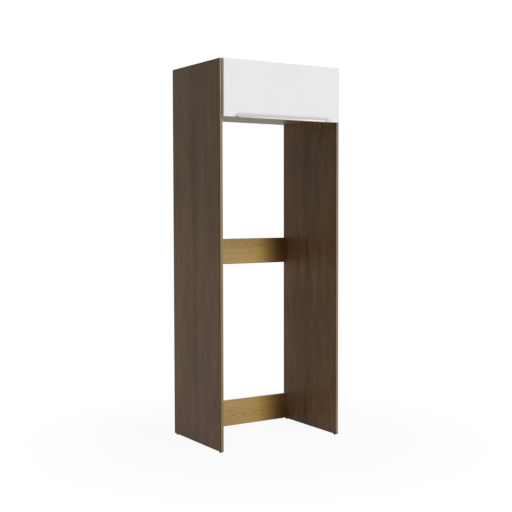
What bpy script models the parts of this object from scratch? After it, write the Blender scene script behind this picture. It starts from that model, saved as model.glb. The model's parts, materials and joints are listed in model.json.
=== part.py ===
"""Fridge housing unit: two tall side panels and two rear rails round an open niche, under a top cupboard
whose flap door hangs on two cup hinges and is carried by a lever stay on each side. Metres, +Z up,
the front faces -Y, the origin is on the floor under the middle of the whole unit."""

from math import atan2, cos, pi, radians, sin

import bmesh
import bpy
from mathutils import Euler, Matrix, Vector

# The carcass, measured over the side panels
WIDTH = 0.746
CARCASS_DEPTH = 0.512
NICHE_HEIGHT = 1.734
CUPBOARD_HEIGHT = 0.266
BOARD = 0.015
EDGE_BAND = 0.0008
BOARD_ROUNDING = 0.0006

# The two rails across the back of the niche
LOW_RAIL_HEIGHT = 0.147
MID_RAIL_START = 0.929
MID_RAIL_HEIGHT = 0.144

# The thin back of the cupboard, held in a groove
BACK_BOARD = 0.003
BACK_INSET = 0.012
GROOVE_DEPTH = 0.006

# The glides under the side panels
FOOT_HEIGHT = 0.006
FOOT_RADIUS = 0.0065
FOOT_INSET = 0.020
FOOT_ROUNDING = 0.0012

# Fits
SEAT = 0.0003
OVERRUN = 0.004
MERGE = 0.00003

# The flap door
DOOR_THICKNESS = 0.016
DOOR_GAP = 0.003
DOOR_SIDE_INSET = 0.012
DOOR_TOP_REVEAL = 0.001
DOOR_DROP = 0.026
DOOR_ROUNDING = 0.0010

# The finger pull milled along the door's lower front edge
PULL_HEIGHT = 0.032
PULL_DEPTH = 0.010
PULL_LIP = 0.008
PULL_FILLET = 0.003
PULL_END_MARGIN = 0.089
PULL_TOOL_RADIUS = 0.040

# The bumpers at the door's lower corners
BUMPER_RADIUS = 0.004
BUMPER_CROWN = 0.001
BUMPER_INSET = 0.030

# The cup hinges: cup in the door, cranked arm under the top panel, one pin each
HINGE_INSET = 0.100
CUP_RADIUS = 0.0175
CUP_DEPTH = 0.0125
CUP_WALL = 0.0006
CUP_EDGE_DISTANCE = 0.003
CUP_FLANGE = 0.001
FLANGE_LAP = 0.0012
EAR_PITCH = 0.048
EAR_RADIUS = 0.0052
EAR_DROP = 0.006
EAR_SCREW_RADIUS = 0.0020
PIN_EDGE_DISTANCE = 0.0065
PIN_DEPTH = 0.009
PIN_RADIUS = 0.0010
PIN_LENGTH = 0.016
CHEEK_HEIGHT = 0.0025
BARREL_RADIUS = 0.0020
BARREL_LENGTH = 0.008
BARREL_MOUTH = radians(60)
ARM_THICKNESS = 0.002
ARM_BEND = 0.0015
ARM_TOP_GAP = 0.0042
ARM_WIDTH = 0.0156
ARM_LENGTH = 0.052
ARM_SHOULDER_START = 0.004
ARM_SHOULDER_LENGTH = 0.008
ARM_FLANGE = 0.0015
ARM_FLANGE_HEIGHT = 0.0014
ARM_SLOT_RADIUS = 0.0024
ARM_SLOT_LENGTH = 0.007
ARM_SLOT_FROM_TAIL = 0.012
PLATE_THICKNESS = 0.0022
PLATE_SPINE_WIDTH = 0.0114
PLATE_SPINE_THICKNESS = 0.0036
PLATE_SPINE_START = 0.012
PLATE_WING_SPAN = 0.044
PLATE_WING_WIDTH = 0.012
PLATE_SCREW_SETBACK = 0.037
PLATE_SCREW_PITCH = 0.032
PLATE_SCREW_RADIUS = 0.0023

# The lever stays: spring housing on the side panel, lever, link and a bracket on the door
CRANK_BACK = 0.026
CRANK_DROP = 0.0595
STAY_BACK = 0.062
STAY_DROP = 0.058
HOUSING_BODY = 0.009
HOUSING_COVER = 0.0027
HOUSING_AHEAD = 0.032
HOUSING_BEHIND = 0.078
HOUSING_ABOVE = 0.028
HOUSING_BELOW = 0.042
HOUSING_ROUNDING = 0.012
COVER_SETBACK = 0.0015
COVER_WINDOW_RADIUS = 0.0030
COVER_WINDOW_LENGTH = 0.026
COVER_WINDOW_BACK = 0.032
LEVER_THICKNESS = 0.003
LEVER_END_RADIUS = 0.0085
LEVER_WAIST = 0.0055
LINK_THICKNESS = 0.0025
LINK_END_RADIUS = 0.007
LINK_WAIST = 0.0045
AXLE_RADIUS = 0.004
AXLE_SEAT_DEPTH = 0.006
AXLE_HEAD_RADIUS = 0.0058
RIVET_RADIUS = 0.0025
RIVET_HEAD_RADIUS = 0.0042
RIVET_HEAD = 0.001
BRACKET_BASE_THICKNESS = 0.0018
BRACKET_BASE_HEIGHT = 0.032
BRACKET_BASE_WIDTH = 0.026
BRACKET_EAR_RADIUS = 0.0075
BRACKET_ROUNDING = 0.004
BRACKET_SCREW_RADIUS = 0.0021
BRACKET_SCREW_PITCH = 0.016

# The cam fittings that pull the boards together
CAM_RADIUS = 0.0075
CAM_DEPTH = 0.0125
CAM_END_DISTANCE = 0.024
CAM_PANEL_INSET = 0.060
CAM_RAIL_INSET = 0.030
CAM_SLOT_WIDTH = 0.0014
CAM_SLOT_LENGTH = 0.0095
CAM_SLOT_DEPTH = 0.0020

# Facets round a full circle, and the steps of a curved stretch
FINE = 48
COARSE = 24
SMALL = 16
PULL_STEPS = 8
CORNER_STEPS = 4
HOUSING_STEPS = 6
EYE_STEPS = 10

# The eyes of a lever or link: how far its end goes round, and where its waist starts
EYE_SWEEP = radians(130)
EYE_REACH_SHARE = 2.0

# Edges sharper than these are bevelled, or stay sharp in a smooth shape
BEVEL_ANGLE = radians(50)
SMOOTH_ANGLE = radians(35)

# Places that follow from the sizes above
BASE = FOOT_HEIGHT + SEAT
TOP = BASE + NICHE_HEIGHT + CUPBOARD_HEIGHT
NICHE_TOP = BASE + NICHE_HEIGHT
UNDERSIDE = TOP - BOARD
INNER = WIDTH / 2 - BOARD
DOOR_FRONT = -(CARCASS_DEPTH + DOOR_GAP + DOOR_THICKNESS) / 2
DOOR_REAR = DOOR_FRONT + DOOR_THICKNESS
FRONT = DOOR_REAR + DOOR_GAP
BOARD_FRONT = FRONT + EDGE_BAND + SEAT
BACK = FRONT + CARCASS_DEPTH
BACK_BOARD_REAR = BACK - BACK_INSET
DOOR_TOP = TOP - DOOR_TOP_REVEAL
DOOR_BOTTOM = NICHE_TOP - DOOR_DROP
DOOR_HALF = WIDTH / 2 - DOOR_SIDE_INSET
CUP_HEIGHT = DOOR_TOP - CUP_EDGE_DISTANCE - CUP_RADIUS
DOOR_AXIS = Vector((0, DOOR_REAR - PIN_DEPTH, DOOR_TOP - PIN_EDGE_DISTANCE))
CRANK = Vector((0, CRANK_BACK, -CRANK_DROP))
LEVER_AXIS = DOOR_AXIS + Vector((0, STAY_BACK, -STAY_DROP))
ELBOW = LEVER_AXIS + CRANK
DOOR_PIVOT = DOOR_AXIS + CRANK
COVER_START = SEAT + HOUSING_BODY + SEAT
LEVER_START = COVER_START + HOUSING_COVER + SEAT
LINK_START = LEVER_START + LEVER_THICKNESS + SEAT
RIVET_END = LINK_START + LINK_THICKNESS + SEAT + RIVET_HEAD
SIDES = {"left": -1, "right": 1}


def start_empty():
    """Clears the scene and returns the collections for the parts and for their cutters."""
    for item in list(bpy.data.objects):
        bpy.data.objects.remove(item)
    parts = bpy.data.collections.new("fridge_housing_unit")
    cutters = bpy.data.collections.new("cutters")
    for collection in (parts, cutters):
        bpy.context.scene.collection.children.link(collection)
    return parts, cutters


PARTS, CUTTERS = start_empty()


def material(name, colour, roughness, metallic=0.0):
    made = bpy.data.materials.new(name)
    made.use_nodes = True
    shader = made.node_tree.nodes["Principled BSDF"]
    shader.inputs["Base Color"].default_value = (*colour, 1.0)
    shader.inputs["Roughness"].default_value = roughness
    shader.inputs["Metallic"].default_value = metallic
    made.diffuse_color = (*colour, 1.0)
    return made


WALNUT = material("dark_walnut", (0.098, 0.065, 0.043), 0.50)
TAN_BAND = material("tan_edge_band", (0.305, 0.242, 0.162), 0.50)
OAK = material("golden_oak", (0.366, 0.255, 0.102), 0.50)
WHITE_BOARD = material("pale_melamine", (0.60, 0.60, 0.57), 0.45)
WHITE_SATIN = material("white_satin", (0.80, 0.80, 0.80), 0.40)
HARDBOARD = material("white_back_board", (0.66, 0.66, 0.63), 0.55)
DARK_PLASTIC = material("dark_glide", (0.035, 0.028, 0.022), 0.55)
GREY_PLASTIC = material("grey_cover", (0.52, 0.53, 0.54), 0.45)
SOFT_BUMPER = material("clear_bumper", (0.62, 0.62, 0.60), 0.35)
NICKEL = material("nickel_steel", (0.60, 0.59, 0.56), 0.30, 1.0)
ZINC = material("zinc_cam", (0.52, 0.52, 0.53), 0.42, 1.0)


def add(name, mesh, finish=None):
    """Links a mesh as a part, or as a hidden cutter where it has no finish."""
    made = bpy.data.objects.new(name, mesh)
    if finish:
        mesh.materials.clear()
        mesh.materials.append(finish)
        PARTS.objects.link(made)
        return made
    made.hide_render = True
    made.display_type = "WIRE"
    CUTTERS.objects.link(made)
    return made


def box(name, low, high, finish=None):
    """A box between two corners, with its origin at its centre."""
    low, high = Vector(low), Vector(high)
    shape = bmesh.new()
    bmesh.ops.create_cube(shape, size=1)
    bmesh.ops.scale(shape, vec=high - low, verts=shape.verts)
    mesh = bpy.data.meshes.new(name)
    shape.to_mesh(mesh)
    shape.free()
    made = add(name, mesh, finish)
    made.location = (low + high) / 2
    return made


TURNS = {
    "X": Euler((pi / 2, 0, pi / 2)),
    "-X": Euler((pi / 2, 0, -pi / 2)),
    "Y": Euler((-pi / 2, 0, 0)),
    "Z": Euler((0, 0, 0)),
}


def rod(name, radius, start, length, axis, sides, finish=None):
    """A cylinder from start, along +axis for its length."""
    shape = bmesh.new()
    bmesh.ops.create_cone(
        shape, cap_ends=True, segments=sides, radius1=radius, radius2=radius, depth=length
    )
    turn = TURNS[axis].to_matrix().to_4x4()
    bmesh.ops.transform(shape, matrix=turn, verts=shape.verts)
    mesh = bpy.data.meshes.new(name)
    shape.to_mesh(mesh)
    shape.free()
    made = add(name, mesh, finish)
    made.location = Vector(start) + turn @ Vector((0, 0, length / 2))
    shade(made)
    return made


def shade(made):
    made.data.shade_smooth()
    made.data.set_sharp_from_angle(angle=SMOOTH_ANGLE)


def arc(centre, radius, first, last, steps):
    """Points on an arc from the first angle to the last, in turns of a right-handed plane."""
    angles = [first + (last - first) * step / steps for step in range(steps + 1)]
    return [(centre[0] + radius * cos(a), centre[1] + radius * sin(a)) for a in angles]


def slab(name, loops, start, thickness, axis, finish=None):
    """A flat outline, with any holes after it, extruded along +axis from start. Its own two axes are
    Y and Z on axis X, X and -Z on axis Y, and X and Y on axis Z."""
    curve = bpy.data.curves.new(name, "CURVE")
    curve.dimensions = "2D"
    curve.fill_mode = "BOTH"
    curve.extrude = thickness / 2
    for points in loops:
        spline = curve.splines.new("POLY")
        spline.points.add(len(points) - 1)
        for point, (across, along) in zip(spline.points, points):
            point.co = (across, along, 0, 1)
        spline.use_cyclic_u = True
    drawn = bpy.data.objects.new(name + "_outline", curve)
    CUTTERS.objects.link(drawn)
    graph = bpy.context.evaluated_depsgraph_get()
    mesh = bpy.data.meshes.new_from_object(drawn.evaluated_get(graph))
    bpy.data.objects.remove(drawn)
    bpy.data.curves.remove(curve)
    shape = bmesh.new()
    shape.from_mesh(mesh)
    bmesh.ops.remove_doubles(shape, verts=shape.verts, dist=MERGE)
    turn = TURNS[axis].to_matrix().to_4x4()
    bmesh.ops.transform(shape, matrix=turn, verts=shape.verts)
    bmesh.ops.recalc_face_normals(shape, faces=shape.faces)
    shape.to_mesh(mesh)
    shape.free()
    mesh.name = name
    made = add(name, mesh, finish)
    made.location = Vector(start) + turn @ Vector((0, 0, thickness / 2))
    shade(made)
    return made


def turned(name, profile, centre, axis, sides, finish=None):
    """A profile of radius and height pairs, top to bottom, turned about an axis through centre."""
    mesh = bpy.data.meshes.new(name)
    points = [(radius, 0, height) for radius, height in profile]
    mesh.from_pydata(points, [(here, here + 1) for here in range(len(points) - 1)], [])
    made = add(name, mesh, finish)
    made.location = centre
    made.rotation_euler = TURNS[axis]
    spin = made.modifiers.new("turning", "SCREW")
    spin.steps = sides
    spin.render_steps = sides
    spin.use_merge_vertices = True
    spin.merge_threshold = MERGE
    spin.use_smooth_shade = True
    return made


def boolean(made, tool, operation="DIFFERENCE"):
    step = made.modifiers.new(tool.name, "BOOLEAN")
    step.operation = operation
    step.object = tool
    step.solver = "EXACT"


def rounded(made, width, segments=1):
    bevel = made.modifiers.new("edges", "BEVEL")
    bevel.width = width
    bevel.segments = segments
    bevel.limit_method = "ANGLE"
    bevel.angle_limit = BEVEL_ANGLE


def round_rectangle(low, high, radius, steps=CORNER_STEPS):
    """An outline with four rounded corners."""
    corners = (
        ((high[0] - radius, high[1] - radius), 0),
        ((low[0] + radius, high[1] - radius), pi / 2),
        ((low[0] + radius, low[1] + radius), pi),
        ((high[0] - radius, low[1] + radius), 3 * pi / 2),
    )
    return [point for centre, turn in corners for point in arc(centre, radius, turn, turn + pi / 2, steps)]


def circle(centre, radius, sides):
    return arc(centre, radius, 0, 2 * pi * (1 - 1 / sides), sides - 1)


def bar(first, second, end_radius, waist):
    """A bar's outline with two round eyes, narrower between them."""
    first, second = Vector(first), Vector(second)
    along = (second - first).normalized()
    aside = Vector((-along.y, along.x)) * waist
    inward = along * end_radius * EYE_REACH_SHARE
    turn = atan2(along.y, along.x)
    points = arc(second, end_radius, turn - EYE_SWEEP, turn + EYE_SWEEP, EYE_STEPS)
    points.append(tuple(second - inward + aside))
    points.append(tuple(first + inward + aside))
    turn += pi
    points += arc(first, end_radius, turn - EYE_SWEEP, turn + EYE_SWEEP, EYE_STEPS)
    points.append(tuple(first + inward - aside))
    points.append(tuple(second - inward - aside))
    return points


def across(side, near, far):
    """The low and high x of a layer between two distances in from a side panel's inner face."""
    ends = sorted((side * (INNER - near), side * (INNER - far)))
    return ends[0], ends[1]


def axis_empty(name, place):
    """An empty on a joint's axis, which carries what turns about it."""
    made = bpy.data.objects.new(name, None)
    PARTS.objects.link(made)
    made.location = place
    return made


def carry(parent, pieces):
    for piece in pieces:
        piece.parent = parent
        piece.matrix_parent_inverse = Matrix.Translation(-parent.location)


def side_panels(grooves):
    """The two tall sides, each with a band on its front edge."""
    for word, side in SIDES.items():
        low, high = sorted((side * WIDTH / 2, side * INNER))
        panel = box(f"side_panel_{word}", (low, BOARD_FRONT, BASE), (high, BACK, TOP), WALNUT)
        rounded(panel, BOARD_ROUNDING)
        boolean(panel, grooves)
        box(f"side_edging_{word}", (low, FRONT, BASE), (high, FRONT + EDGE_BAND, TOP), TAN_BAND)


def fixed_boards(grooves):
    """The cupboard's top and bottom boards and the thin back that slides into their grooves."""
    reach = INNER - SEAT
    levels = {"top": UNDERSIDE, "bottom": NICHE_TOP}
    boards = {}
    for word, level in levels.items():
        board = box(
            f"{word}_panel", (-reach, BOARD_FRONT, level), (reach, BACK, level + BOARD), WHITE_BOARD
        )
        rounded(board, BOARD_ROUNDING)
        boolean(board, grooves)
        box(
            f"{word}_edging",
            (-reach, FRONT, level),
            (reach, FRONT + EDGE_BAND, level + BOARD),
            WHITE_BOARD,
        )
        boards[word] = board
    back_board("back_panel", SEAT, HARDBOARD)
    return boards


def back_board(name, ease, finish=None):
    """The cupboard's back, or with no ease the groove that it lies in."""
    side = INNER + GROOVE_DEPTH - ease
    front = BACK_BOARD_REAR - BACK_BOARD
    low = (-side, front - SEAT + ease, NICHE_TOP + BOARD - GROOVE_DEPTH + ease)
    high = (side, BACK_BOARD_REAR + SEAT - ease, UNDERSIDE + GROOVE_DEPTH - ease)
    return box(name, low, high, finish)


def rails():
    """The two rails that hold the sides apart at the back of the niche."""
    reach = INNER - SEAT
    levels = {
        "low_rail": (BASE, LOW_RAIL_HEIGHT),
        "mid_rail": (BASE + MID_RAIL_START, MID_RAIL_HEIGHT),
    }
    made = {}
    for word, (level, height) in levels.items():
        rail = box(word, (-reach, BACK - BOARD, level), (reach, BACK, level + height), OAK)
        rounded(rail, BOARD_ROUNDING)
        made[word] = rail
    return made


def feet():
    """A small glide near each end of each side panel's lower edge."""
    profile = (
        (0, FOOT_HEIGHT),
        (FOOT_RADIUS, FOOT_HEIGHT),
        (FOOT_RADIUS, FOOT_ROUNDING),
        (FOOT_RADIUS - FOOT_ROUNDING, 0),
        (0, 0),
    )
    ends = {"front": FRONT + FOOT_INSET, "back": BACK - FOOT_INSET}
    for word, side in SIDES.items():
        for end, depth in ends.items():
            centre = (side * (INNER + BOARD / 2), depth, 0)
            turned(f"foot_{end}_{word}", profile, centre, "Z", COARSE, DARK_PLASTIC)


def cam_shape():
    """One cam's mesh: a disc with a crossed slot in its face, its origin at the middle of that face."""
    disc = rod("cam_disc", CAM_RADIUS, (0, 0, -CAM_DEPTH), CAM_DEPTH, "Z", COARSE)
    half, width = CAM_SLOT_LENGTH / 2, CAM_SLOT_WIDTH / 2
    for name, reach, breadth in (("cam_slot_a", half, width), ("cam_slot_b", width, half)):
        low = (-reach, -breadth, -CAM_SLOT_DEPTH)
        boolean(disc, box(name, low, (reach, breadth, OVERRUN)))
    graph = bpy.context.evaluated_depsgraph_get()
    mesh = bpy.data.meshes.new_from_object(disc.evaluated_get(graph))
    mesh.transform(Matrix.Translation(disc.location))
    bpy.data.objects.remove(disc)
    return mesh


def cams(boards, rail_boards):
    """Cam fittings at both ends of every fixed board: in the upper faces of the cupboard's boards
    and in the rear faces of the rails."""
    mesh = cam_shape()
    spots = []
    for word, board in boards.items():
        level = (UNDERSIDE if word == "top" else NICHE_TOP) + BOARD
        for end, depth in (("front", FRONT + CAM_PANEL_INSET), ("back", BACK - CAM_PANEL_INSET)):
            spots.append((f"cam_{word}_{end}", board, depth, level, "Z"))
    for word, rail in rail_boards.items():
        level = rail.location.z
        half = rail.dimensions.z / 2 - CAM_RAIL_INSET
        for end, height in (("upper", level + half), ("lower", level - half)):
            spots.append((f"cam_{word}_{end}", rail, BACK, height, "Y"))
    for name, board, depth, height, axis in spots:
        for word, side in SIDES.items():
            place = Vector((side * (INNER - CAM_END_DISTANCE), depth, height))
            turn = TURNS[axis].to_matrix()
            bottom = place - turn @ Vector((0, 0, CAM_DEPTH + SEAT))
            hole = rod(
                f"{name}_{word}_hole",
                CAM_RADIUS + SEAT,
                bottom,
                CAM_DEPTH + SEAT + OVERRUN,
                axis,
                COARSE,
            )
            boolean(board, hole)
            cam = add(f"{name}_{word}", mesh.copy(), ZINC)
            cam.rotation_euler = TURNS[axis]
            cam.location = place


def pull_profile():
    """The finger pull's section from the top down, as depths in from the door's front face and heights
    above its lower edge: a soft roll inwards, then a small hollow, then the upright lip."""
    tilt = 2 * (PULL_DEPTH - PULL_FILLET / 2) / (PULL_HEIGHT - PULL_LIP)
    roll = (PULL_HEIGHT - PULL_LIP - PULL_FILLET * sin(tilt)) / sin(tilt)
    rolled = arc((roll, PULL_HEIGHT), roll, pi, pi + tilt, PULL_STEPS)
    centre = (rolled[-1][0] - PULL_FILLET * cos(tilt), rolled[-1][1] - PULL_FILLET * sin(tilt))
    hollow = arc(centre, PULL_FILLET, tilt, 0, PULL_STEPS // 2)
    return [*rolled, *hollow[1:], (hollow[-1][0], -OVERRUN)]


def finger_pull():
    """The cutter for the finger pull: its section run along the door, and turned about the milling
    tool's upright axis at both ends."""
    section = pull_profile()
    reach = DOOR_HALF - PULL_END_MARGIN
    low, high = (-reach, DOOR_FRONT, DOOR_BOTTOM), (reach, DOOR_FRONT, DOOR_BOTTOM)
    outline = [*section, (-OVERRUN, -OVERRUN), (-OVERRUN, PULL_HEIGHT)]
    cutter = slab("finger_pull", [outline], low, high[0] - low[0], "X")
    profile = [(0, PULL_HEIGHT)]
    profile += [(PULL_TOOL_RADIUS + depth, height) for depth, height in section]
    profile.append((0, -OVERRUN))
    for word, side in SIDES.items():
        centre = (side * reach, DOOR_FRONT - PULL_TOOL_RADIUS, DOOR_BOTTOM)
        boolean(cutter, turned(f"pull_end_{word}", profile, centre, "Z", 2 * FINE), "UNION")
    return cutter


def hinge_places():
    return {word: side * (DOOR_HALF - HINGE_INSET) for word, side in SIDES.items()}


def door_panel():
    """The flap, with its finger pull and a bore for each cup."""
    door = box(
        "door_panel",
        (-DOOR_HALF, DOOR_FRONT, DOOR_BOTTOM),
        (DOOR_HALF, DOOR_REAR, DOOR_TOP),
        WHITE_SATIN,
    )
    rounded(door, DOOR_ROUNDING, 2)
    boolean(door, finger_pull())
    depth = CUP_DEPTH + SEAT
    for word, place in hinge_places().items():
        start = (place, DOOR_REAR - depth, CUP_HEIGHT)
        bore = rod(f"cup_bore_{word}", CUP_RADIUS + SEAT, start, depth + OVERRUN, "Y", FINE)
        boolean(door, bore)
    return door


def bumpers():
    """Soft stops that meet the bottom board's front edge."""
    made = []
    thickness = DOOR_GAP - SEAT - SEAT
    for word, side in SIDES.items():
        centre = (side * (INNER - BUMPER_INSET), DOOR_REAR + SEAT, NICHE_TOP + BOARD / 2)
        profile = (
            (0, thickness),
            (BUMPER_RADIUS - BUMPER_CROWN, thickness),
            (BUMPER_RADIUS, thickness - BUMPER_CROWN),
            (BUMPER_RADIUS, 0),
            (0, 0),
        )
        made.append(turned(f"bumper_{word}", profile, centre, "Y", SMALL, SOFT_BUMPER))
    return made


def hinge_cup(word, place):
    """The pressed cup with its flange and two screw ears. Its pin crosses it near its upper rim."""
    bottom = DOOR_REAR - CUP_DEPTH
    face = DOOR_REAR + SEAT
    cup = rod(
        f"hinge_cup_{word}",
        CUP_RADIUS,
        (place, bottom, CUP_HEIGHT),
        face + CUP_FLANGE - bottom,
        "Y",
        FINE,
        NICKEL,
    )
    lap = CUP_RADIUS + FLANGE_LAP
    ring = rod(
        f"cup_rim_{word}", lap, (place, face, CUP_HEIGHT), CUP_FLANGE, "Y", FINE
    )
    half = EAR_PITCH / 2
    ears = slab(
        f"cup_ears_{word}",
        [
            round_rectangle(
                (-half - EAR_RADIUS, EAR_DROP - EAR_RADIUS),
                (half + EAR_RADIUS, EAR_DROP + EAR_RADIUS),
                EAR_RADIUS,
            )
        ],
        (place, face, CUP_HEIGHT),
        CUP_FLANGE,
        "Y",
    )
    boolean(cup, ring, "UNION")
    boolean(cup, ears, "UNION")
    hollow = rod(
        f"cup_hollow_{word}",
        CUP_RADIUS - CUP_WALL,
        (place, bottom + CUP_WALL, CUP_HEIGHT),
        CUP_DEPTH + OVERRUN,
        "Y",
        FINE,
    )
    near = BARREL_LENGTH / 2 + SEAT
    for side in (-1, 1):
        low, high = sorted((place + side * near, place + side * CUP_RADIUS))
        cheek = box(
            f"cup_cheek_{word}_{side > 0}",
            (low, bottom - OVERRUN, DOOR_AXIS.z - CHEEK_HEIGHT),
            (high, face + CUP_FLANGE, DOOR_TOP),
        )
        boolean(hollow, cheek)
    boolean(cup, hollow)
    length = PIN_LENGTH + SEAT + SEAT
    pin_hole = rod(
        f"cup_pin_hole_{word}",
        PIN_RADIUS + SEAT,
        (place - length / 2, DOOR_AXIS.y, DOOR_AXIS.z),
        length,
        "X",
        SMALL,
    )
    boolean(cup, pin_hole)
    for ear in (-half, half):
        start = (place + ear, face - OVERRUN, CUP_HEIGHT - EAR_DROP)
        depth = OVERRUN + CUP_FLANGE + OVERRUN
        hole = rod(f"cup_screw_{word}_{ear > 0}", EAR_SCREW_RADIUS, start, depth, "Y", SMALL)
        boolean(cup, hole)
    return cup


def hinge_pin(word, place):
    start = (place - PIN_LENGTH / 2, DOOR_AXIS.y, DOOR_AXIS.z)
    return rod(f"hinge_pin_{word}", PIN_RADIUS, start, PIN_LENGTH, "X", SMALL, NICKEL)


def neck_outline():
    """The arm's cranked neck in section: a barrel round the pin, a leg down inside the cup, one bend
    and a run back under the top panel."""
    half = ARM_THICKNESS / 2
    run_top = UNDERSIDE - ARM_TOP_GAP
    bend = (DOOR_AXIS.y + half + ARM_BEND, run_top + ARM_BEND)
    barrel = arc(DOOR_AXIS.yz, BARREL_RADIUS, -BARREL_MOUTH, pi + BARREL_MOUTH, SMALL)
    outer = arc(bend, ARM_BEND + ARM_THICKNESS, pi, 3 * pi / 2, SMALL // 2)
    inner = arc(bend, ARM_BEND, 3 * pi / 2, pi, SMALL // 2)
    end = FRONT + ARM_SHOULDER_START + ARM_SHOULDER_LENGTH
    tail = [(end, run_top - ARM_THICKNESS), (end, run_top)]
    return [*barrel, *outer, *tail, *inner]


def hinge_arm(word, place):
    """The steel arm: a narrow cranked neck that widens into a channel over the mounting plate."""
    half_neck = BARREL_LENGTH / 2
    run_top = UNDERSIDE - ARM_TOP_GAP
    arm = slab(
        f"hinge_arm_{word}",
        [neck_outline()],
        (place - half_neck, 0, 0),
        BARREL_LENGTH,
        "X",
        NICKEL,
    )
    half = ARM_WIDTH / 2
    start = FRONT + ARM_SHOULDER_START
    shoulder = start + ARM_SHOULDER_LENGTH
    tail = FRONT + ARM_LENGTH
    outline = [
        (half_neck, start),
        (half, shoulder),
        *arc((0, tail - half), half, 0, pi, COARSE // 2),
        (-half, shoulder),
        (-half_neck, start),
    ]
    slot_centre = tail - ARM_SLOT_FROM_TAIL
    reach = ARM_SLOT_LENGTH / 2
    slot = [
        *arc((0, slot_centre + reach), ARM_SLOT_RADIUS, 0, pi, SMALL // 2),
        *arc((0, slot_centre - reach), ARM_SLOT_RADIUS, pi, 2 * pi, SMALL // 2),
    ]
    body = slab(
        f"arm_body_{word}",
        [outline, slot],
        (place, 0, run_top - ARM_THICKNESS),
        ARM_THICKNESS,
        "Z",
    )
    boolean(arm, body, "UNION")
    for side in (-1, 1):
        low, high = sorted((place + side * half, place + side * (half - ARM_FLANGE)))
        flange = box(
            f"arm_flange_{word}_{side > 0}",
            (low, shoulder, run_top - ARM_THICKNESS / 2),
            (high, tail - half, run_top + ARM_FLANGE_HEIGHT),
        )
        boolean(arm, flange, "UNION")
    length = OVERRUN + BARREL_LENGTH + OVERRUN
    bore = rod(
        f"arm_bore_{word}",
        PIN_RADIUS + SEAT,
        (place - length / 2, DOOR_AXIS.y, DOOR_AXIS.z),
        length,
        "X",
        SMALL,
    )
    boolean(arm, bore)


def mounting_plate(word, place):
    """The winged plate screwed under the top panel, with the spine that the arm clips over."""
    face = UNDERSIDE - SEAT
    half_span, half_wing = PLATE_WING_SPAN / 2, PLATE_WING_WIDTH / 2
    setback = FRONT + PLATE_SCREW_SETBACK
    wings = round_rectangle(
        (-half_span, setback - half_wing), (half_span, setback + half_wing), half_wing
    )
    holes = [
        circle((side * PLATE_SCREW_PITCH / 2, setback), PLATE_SCREW_RADIUS, SMALL) for side in (-1, 1)
    ]
    plate = slab(
        f"hinge_plate_{word}",
        [wings, *holes],
        (place, 0, face - PLATE_THICKNESS),
        PLATE_THICKNESS,
        "Z",
        NICKEL,
    )
    half = PLATE_SPINE_WIDTH / 2
    tail = FRONT + ARM_LENGTH - ARM_WIDTH / 2 + half
    spine = slab(
        f"plate_spine_{word}",
        [round_rectangle((-half, FRONT + PLATE_SPINE_START), (half, tail), half / 2)],
        (place, 0, face - PLATE_SPINE_THICKNESS),
        PLATE_SPINE_THICKNESS,
        "Z",
    )
    boolean(plate, spine, "UNION")


def stay_housing(word, side):
    """The spring housing on the side panel and its cover, with the lever's axle standing out of them."""
    centre = LEVER_AXIS.yz
    low = (centre[0] - HOUSING_AHEAD, centre[1] - HOUSING_BELOW)
    high = (centre[0] + HOUSING_BEHIND, centre[1] + HOUSING_ABOVE)
    left, right = across(side, SEAT, SEAT + HOUSING_BODY)
    outline = round_rectangle(low, high, HOUSING_ROUNDING, HOUSING_STEPS)
    body = slab(f"stay_housing_{word}", [outline], (left, 0, 0), right - left, "X", NICKEL)
    bottom, top = across(side, COVER_START - AXLE_SEAT_DEPTH, COVER_START + OVERRUN)
    bore = rod(
        f"axle_bore_{word}", AXLE_RADIUS + SEAT, (bottom, *centre), top - bottom, "X", COARSE
    )
    boolean(body, bore)
    inset = COVER_SETBACK
    outline = round_rectangle(
        (low[0] + inset, low[1] + inset),
        (high[0] - inset, high[1] - inset),
        HOUSING_ROUNDING - inset,
        HOUSING_STEPS,
    )
    window_at = centre[0] + COVER_WINDOW_BACK
    half = COVER_WINDOW_LENGTH / 2
    window = [
        *arc((window_at + half, centre[1]), COVER_WINDOW_RADIUS, -pi / 2, pi / 2, SMALL // 2),
        *arc((window_at - half, centre[1]), COVER_WINDOW_RADIUS, pi / 2, 3 * pi / 2, SMALL // 2),
    ]
    hole = circle(centre, AXLE_RADIUS + SEAT, COARSE)
    left, right = across(side, COVER_START, COVER_START + HOUSING_COVER)
    slab(
        f"stay_cover_{word}", [outline, hole, window], (left, 0, 0), right - left, "X", GREY_PLASTIC
    )


def headed_pin(name, side, near, far, radius, head_radius, head, centre, sides):
    """A pin with a flat head at its end towards the middle of the cupboard."""
    length = far - near
    profile = (
        (0, length),
        (head_radius, length),
        (head_radius, length - head),
        (radius, length - head),
        (radius, 0),
        (0, 0),
    )
    inwards = "X" if side < 0 else "-X"
    return turned(name, profile, (side * (INNER - near), *centre), inwards, sides, NICKEL)


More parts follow.
